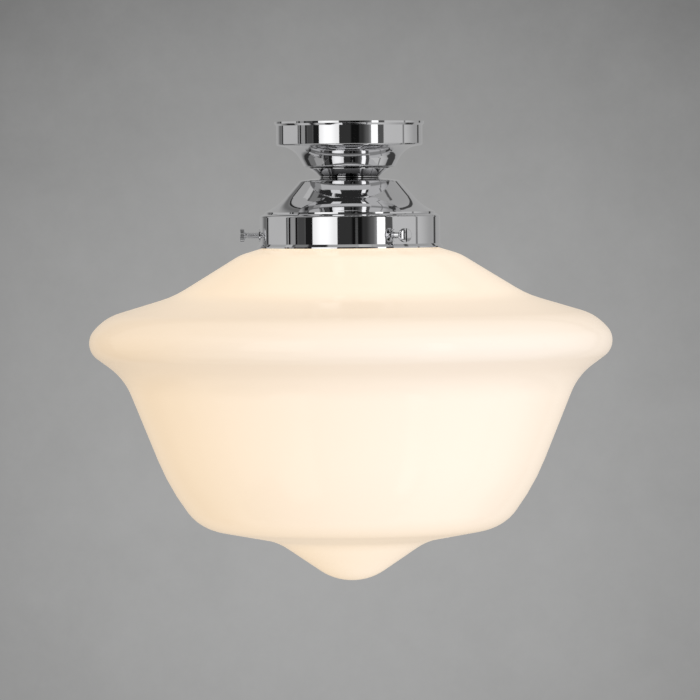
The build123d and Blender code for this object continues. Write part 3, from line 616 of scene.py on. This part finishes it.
def thumbscrews():
    """One slotted screw, turned to the place of each of the three."""
    low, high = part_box("thumbscrew_left")
    level = (low.z + high.z) / 2
    head_radius = (high.z - low.z) / 2
    tip, top = -high.x, -low.x
    pattern = bpy.data.objects.new("pattern", screw_mesh(tip, top, head_radius))
    scene.collection.objects.link(pattern)
    half, past = SLOT_WIDTH / 2, 2 * head_radius
    cut_away(pattern, (top - SLOT_DEPTH, -half, -past), (top + SLOT_DEPTH, half, past))
    mesh = pattern.data
    bpy.data.objects.remove(pattern)
    finish_mesh(mesh, "chrome")
    for name, angle in SCREW_ANGLES.items():
        turned = mesh.copy()
        turned.transform(Matrix.Translation((0, 0, level)) @ Matrix.Rotation(math.radians(angle), 4, "Z"))
        screw = bpy.data.objects.new(f"cut_thumbscrew_{name}", turned)
        scene.collection.objects.link(screw)
        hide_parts(f"thumbscrew_{name}")
        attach(screw, f"thumbscrew_{name}")


thumbscrews()
blown_shade()


# Studio

def grey(level):
    return (level, level, level * GREY_BLUE, 1)


def card_mask(tree, value, low, high, soft):
    """1 between two angles, fading to 0 at both."""
    rise = spread(tree, value, low - soft, low + soft, smooth=True)
    fall = spread(tree, value, high - soft, high + soft, 1.0, 0.0, smooth=True)
    return math_node(tree, "MULTIPLY", rise, fall)


def studio_view(tree, azimuth, height):
    """What the chrome sees in a direction: each card laid over the ones before it."""
    seen = grey(BEHIND_AND_ABOVE)
    upward = math_node(tree, "MAXIMUM", height, 0.0)
    for card in STUDIO_CARDS.values():
        across = azimuth
        if card.lean:
            across = math_node(tree, "ADD", azimuth, math_node(tree, "MULTIPLY", upward, -card.lean))
        mask = card_mask(tree, across, card.left, card.right, card.soft)
        if card.top is not None:
            rows = card_mask(tree, height, card.foot, card.top, card.soft)
            mask = math_node(tree, "MULTIPLY", mask, rows)
        seen = mixed(tree, mask, seen, grey(card.level))
    return seen


def backdrop_view(tree, way, across, height):
    """The mottled grey backdrop, darker away from its middle, and the floor below it."""
    lower = math_node(tree, "SUBTRACT", height, BACKDROP_CENTRE)
    shade = spread(tree, squares_sum(tree, across, lower), 0.0, BACKDROP_FALL)
    patches = noise(tree, way, BACKDROP_GRAIN, detail=8.0, roughness=0.75)
    mottle = spread(tree, patches, *NOISE_WIDE, -BACKDROP_MOTTLE, BACKDROP_MOTTLE)
    shade = math_node(tree, "ADD", shade, mottle, clamp=True)
    wall = mixed(tree, shade, grey(BACKDROP_LIGHT), grey(BACKDROP_DARK))
    below = spread(tree, height, FLOOR_EDGE, BACKDROP_FOOT, 1.0, 0.0)
    return mixed(tree, below, wall, grey(FLOOR_TONE))


def studio_world():
    """The grey backdrop for the camera, the studio for reflections, and an even fill."""
    world = bpy.data.worlds.new("studio")
    scene.world = world
    world.use_nodes = True
    tree = world.node_tree
    way = put(tree, "ShaderNodeTexCoord").outputs["Generated"]
    x, y, z = split(tree, way)
    forward = math_node(tree, "MULTIPLY", y, -1.0)
    azimuth = math_node(tree, "DEGREES", math_node(tree, "ARCTAN2", x, forward))
    height = math_node(tree, "DEGREES", math_node(tree, "ARCSINE", z))
    studio = studio_view(tree, azimuth, height)
    backdrop = backdrop_view(tree, way, math_node(tree, "DEGREES", x), height)
    path = put(tree, "ShaderNodeLightPath").outputs
    reflected = math_node(tree, "ADD", path["Is Glossy Ray"], path["Is Transmission Ray"], clamp=True)
    colour = mixed(tree, reflected, grey(FILL_LEVEL), studio)
    colour = mixed(tree, path["Is Camera Ray"], colour, backdrop)
    feed(tree, tree.nodes["Background"].inputs["Color"], colour)


studio_world()


def soft_light(name, lamp):
    """A large soft lamp that lights the object and is not itself seen in it."""
    light = bpy.data.lights.new(name, "AREA")
    light.shape = "DISK"
    light.size = lamp.size
    light.energy = lamp.watts
    light.color = lamp.colour
    made = bpy.data.objects.new(name, light)
    scene.collection.objects.link(made)
    made.location = lamp.spot
    made.rotation_mode = "QUATERNION"
    made.rotation_quaternion = (Vector(lamp.aim) - Vector(lamp.spot)).to_track_quat("-Z", "Y")
    made.visible_camera = False
    made.visible_glossy = False


for name, lamp in SOFT_LAMPS.items():
    soft_light(name, lamp)


def room_floor():
    """A plain pale floor far below the light."""
    mesh = bpy.data.meshes.new("floor")
    signs = ((-1, -1), (1, -1), (1, 1), (-1, 1))
    corners = [(across * FLOOR_HALF, along * FLOOR_HALF, FLOOR_LEVEL) for across, along in signs]
    mesh.from_pydata(corners, [], [(0, 1, 2, 3)])
    made = bpy.data.objects.new("floor", mesh)
    scene.collection.objects.link(made)
    finish, tree, shader = surface("floor", Roughness=0.8)
    cloud = noise(tree, place(tree), FLOOR_CLOUD, detail=4.0)
    feed(tree, shader.inputs["Base Color"], mixed(tree, cloud, FLOOR_DARK, FLOOR_LIGHT))
    even = put(tree, "ShaderNodeEmission")
    even.inputs["Color"].default_value = grey(FLOOR_TONE)
    either = put(tree, "ShaderNodeMixShader")
    tree.links.new(put(tree, "ShaderNodeLightPath").outputs["Is Camera Ray"], either.inputs[0])
    tree.links.new(shader.outputs[0], either.inputs[1])
    tree.links.new(even.outputs[0], either.inputs[2])
    tree.links.new(either.outputs[0], tree.nodes["Material Output"].inputs["Surface"])
    mesh.materials.append(finish)
    made.visible_glossy = False


room_floor()


def photo_camera():
    """The camera at the photograph's viewing angle."""
    lens = bpy.data.cameras.new("camera")
    lens.lens = CAMERA_LENS
    lens.sensor_width = CAMERA_SENSOR
    lens.clip_end = CAMERA_REACH
    camera = bpy.data.objects.new("camera", lens)
    scene.collection.objects.link(camera)
    camera.location = CAMERA_PLACE
    camera.rotation_mode = "QUATERNION"
    aim = (Vector(CAMERA_AIM) - Vector(CAMERA_PLACE)).to_track_quat("-Z", "Y")
    roll = Matrix.Rotation(math.radians(CAMERA_ROLL), 3, "Z").to_quaternion()
    camera.rotation_quaternion = aim @ roll
    scene.camera = camera


photo_camera()
scene.view_settings.view_transform = "Standard"
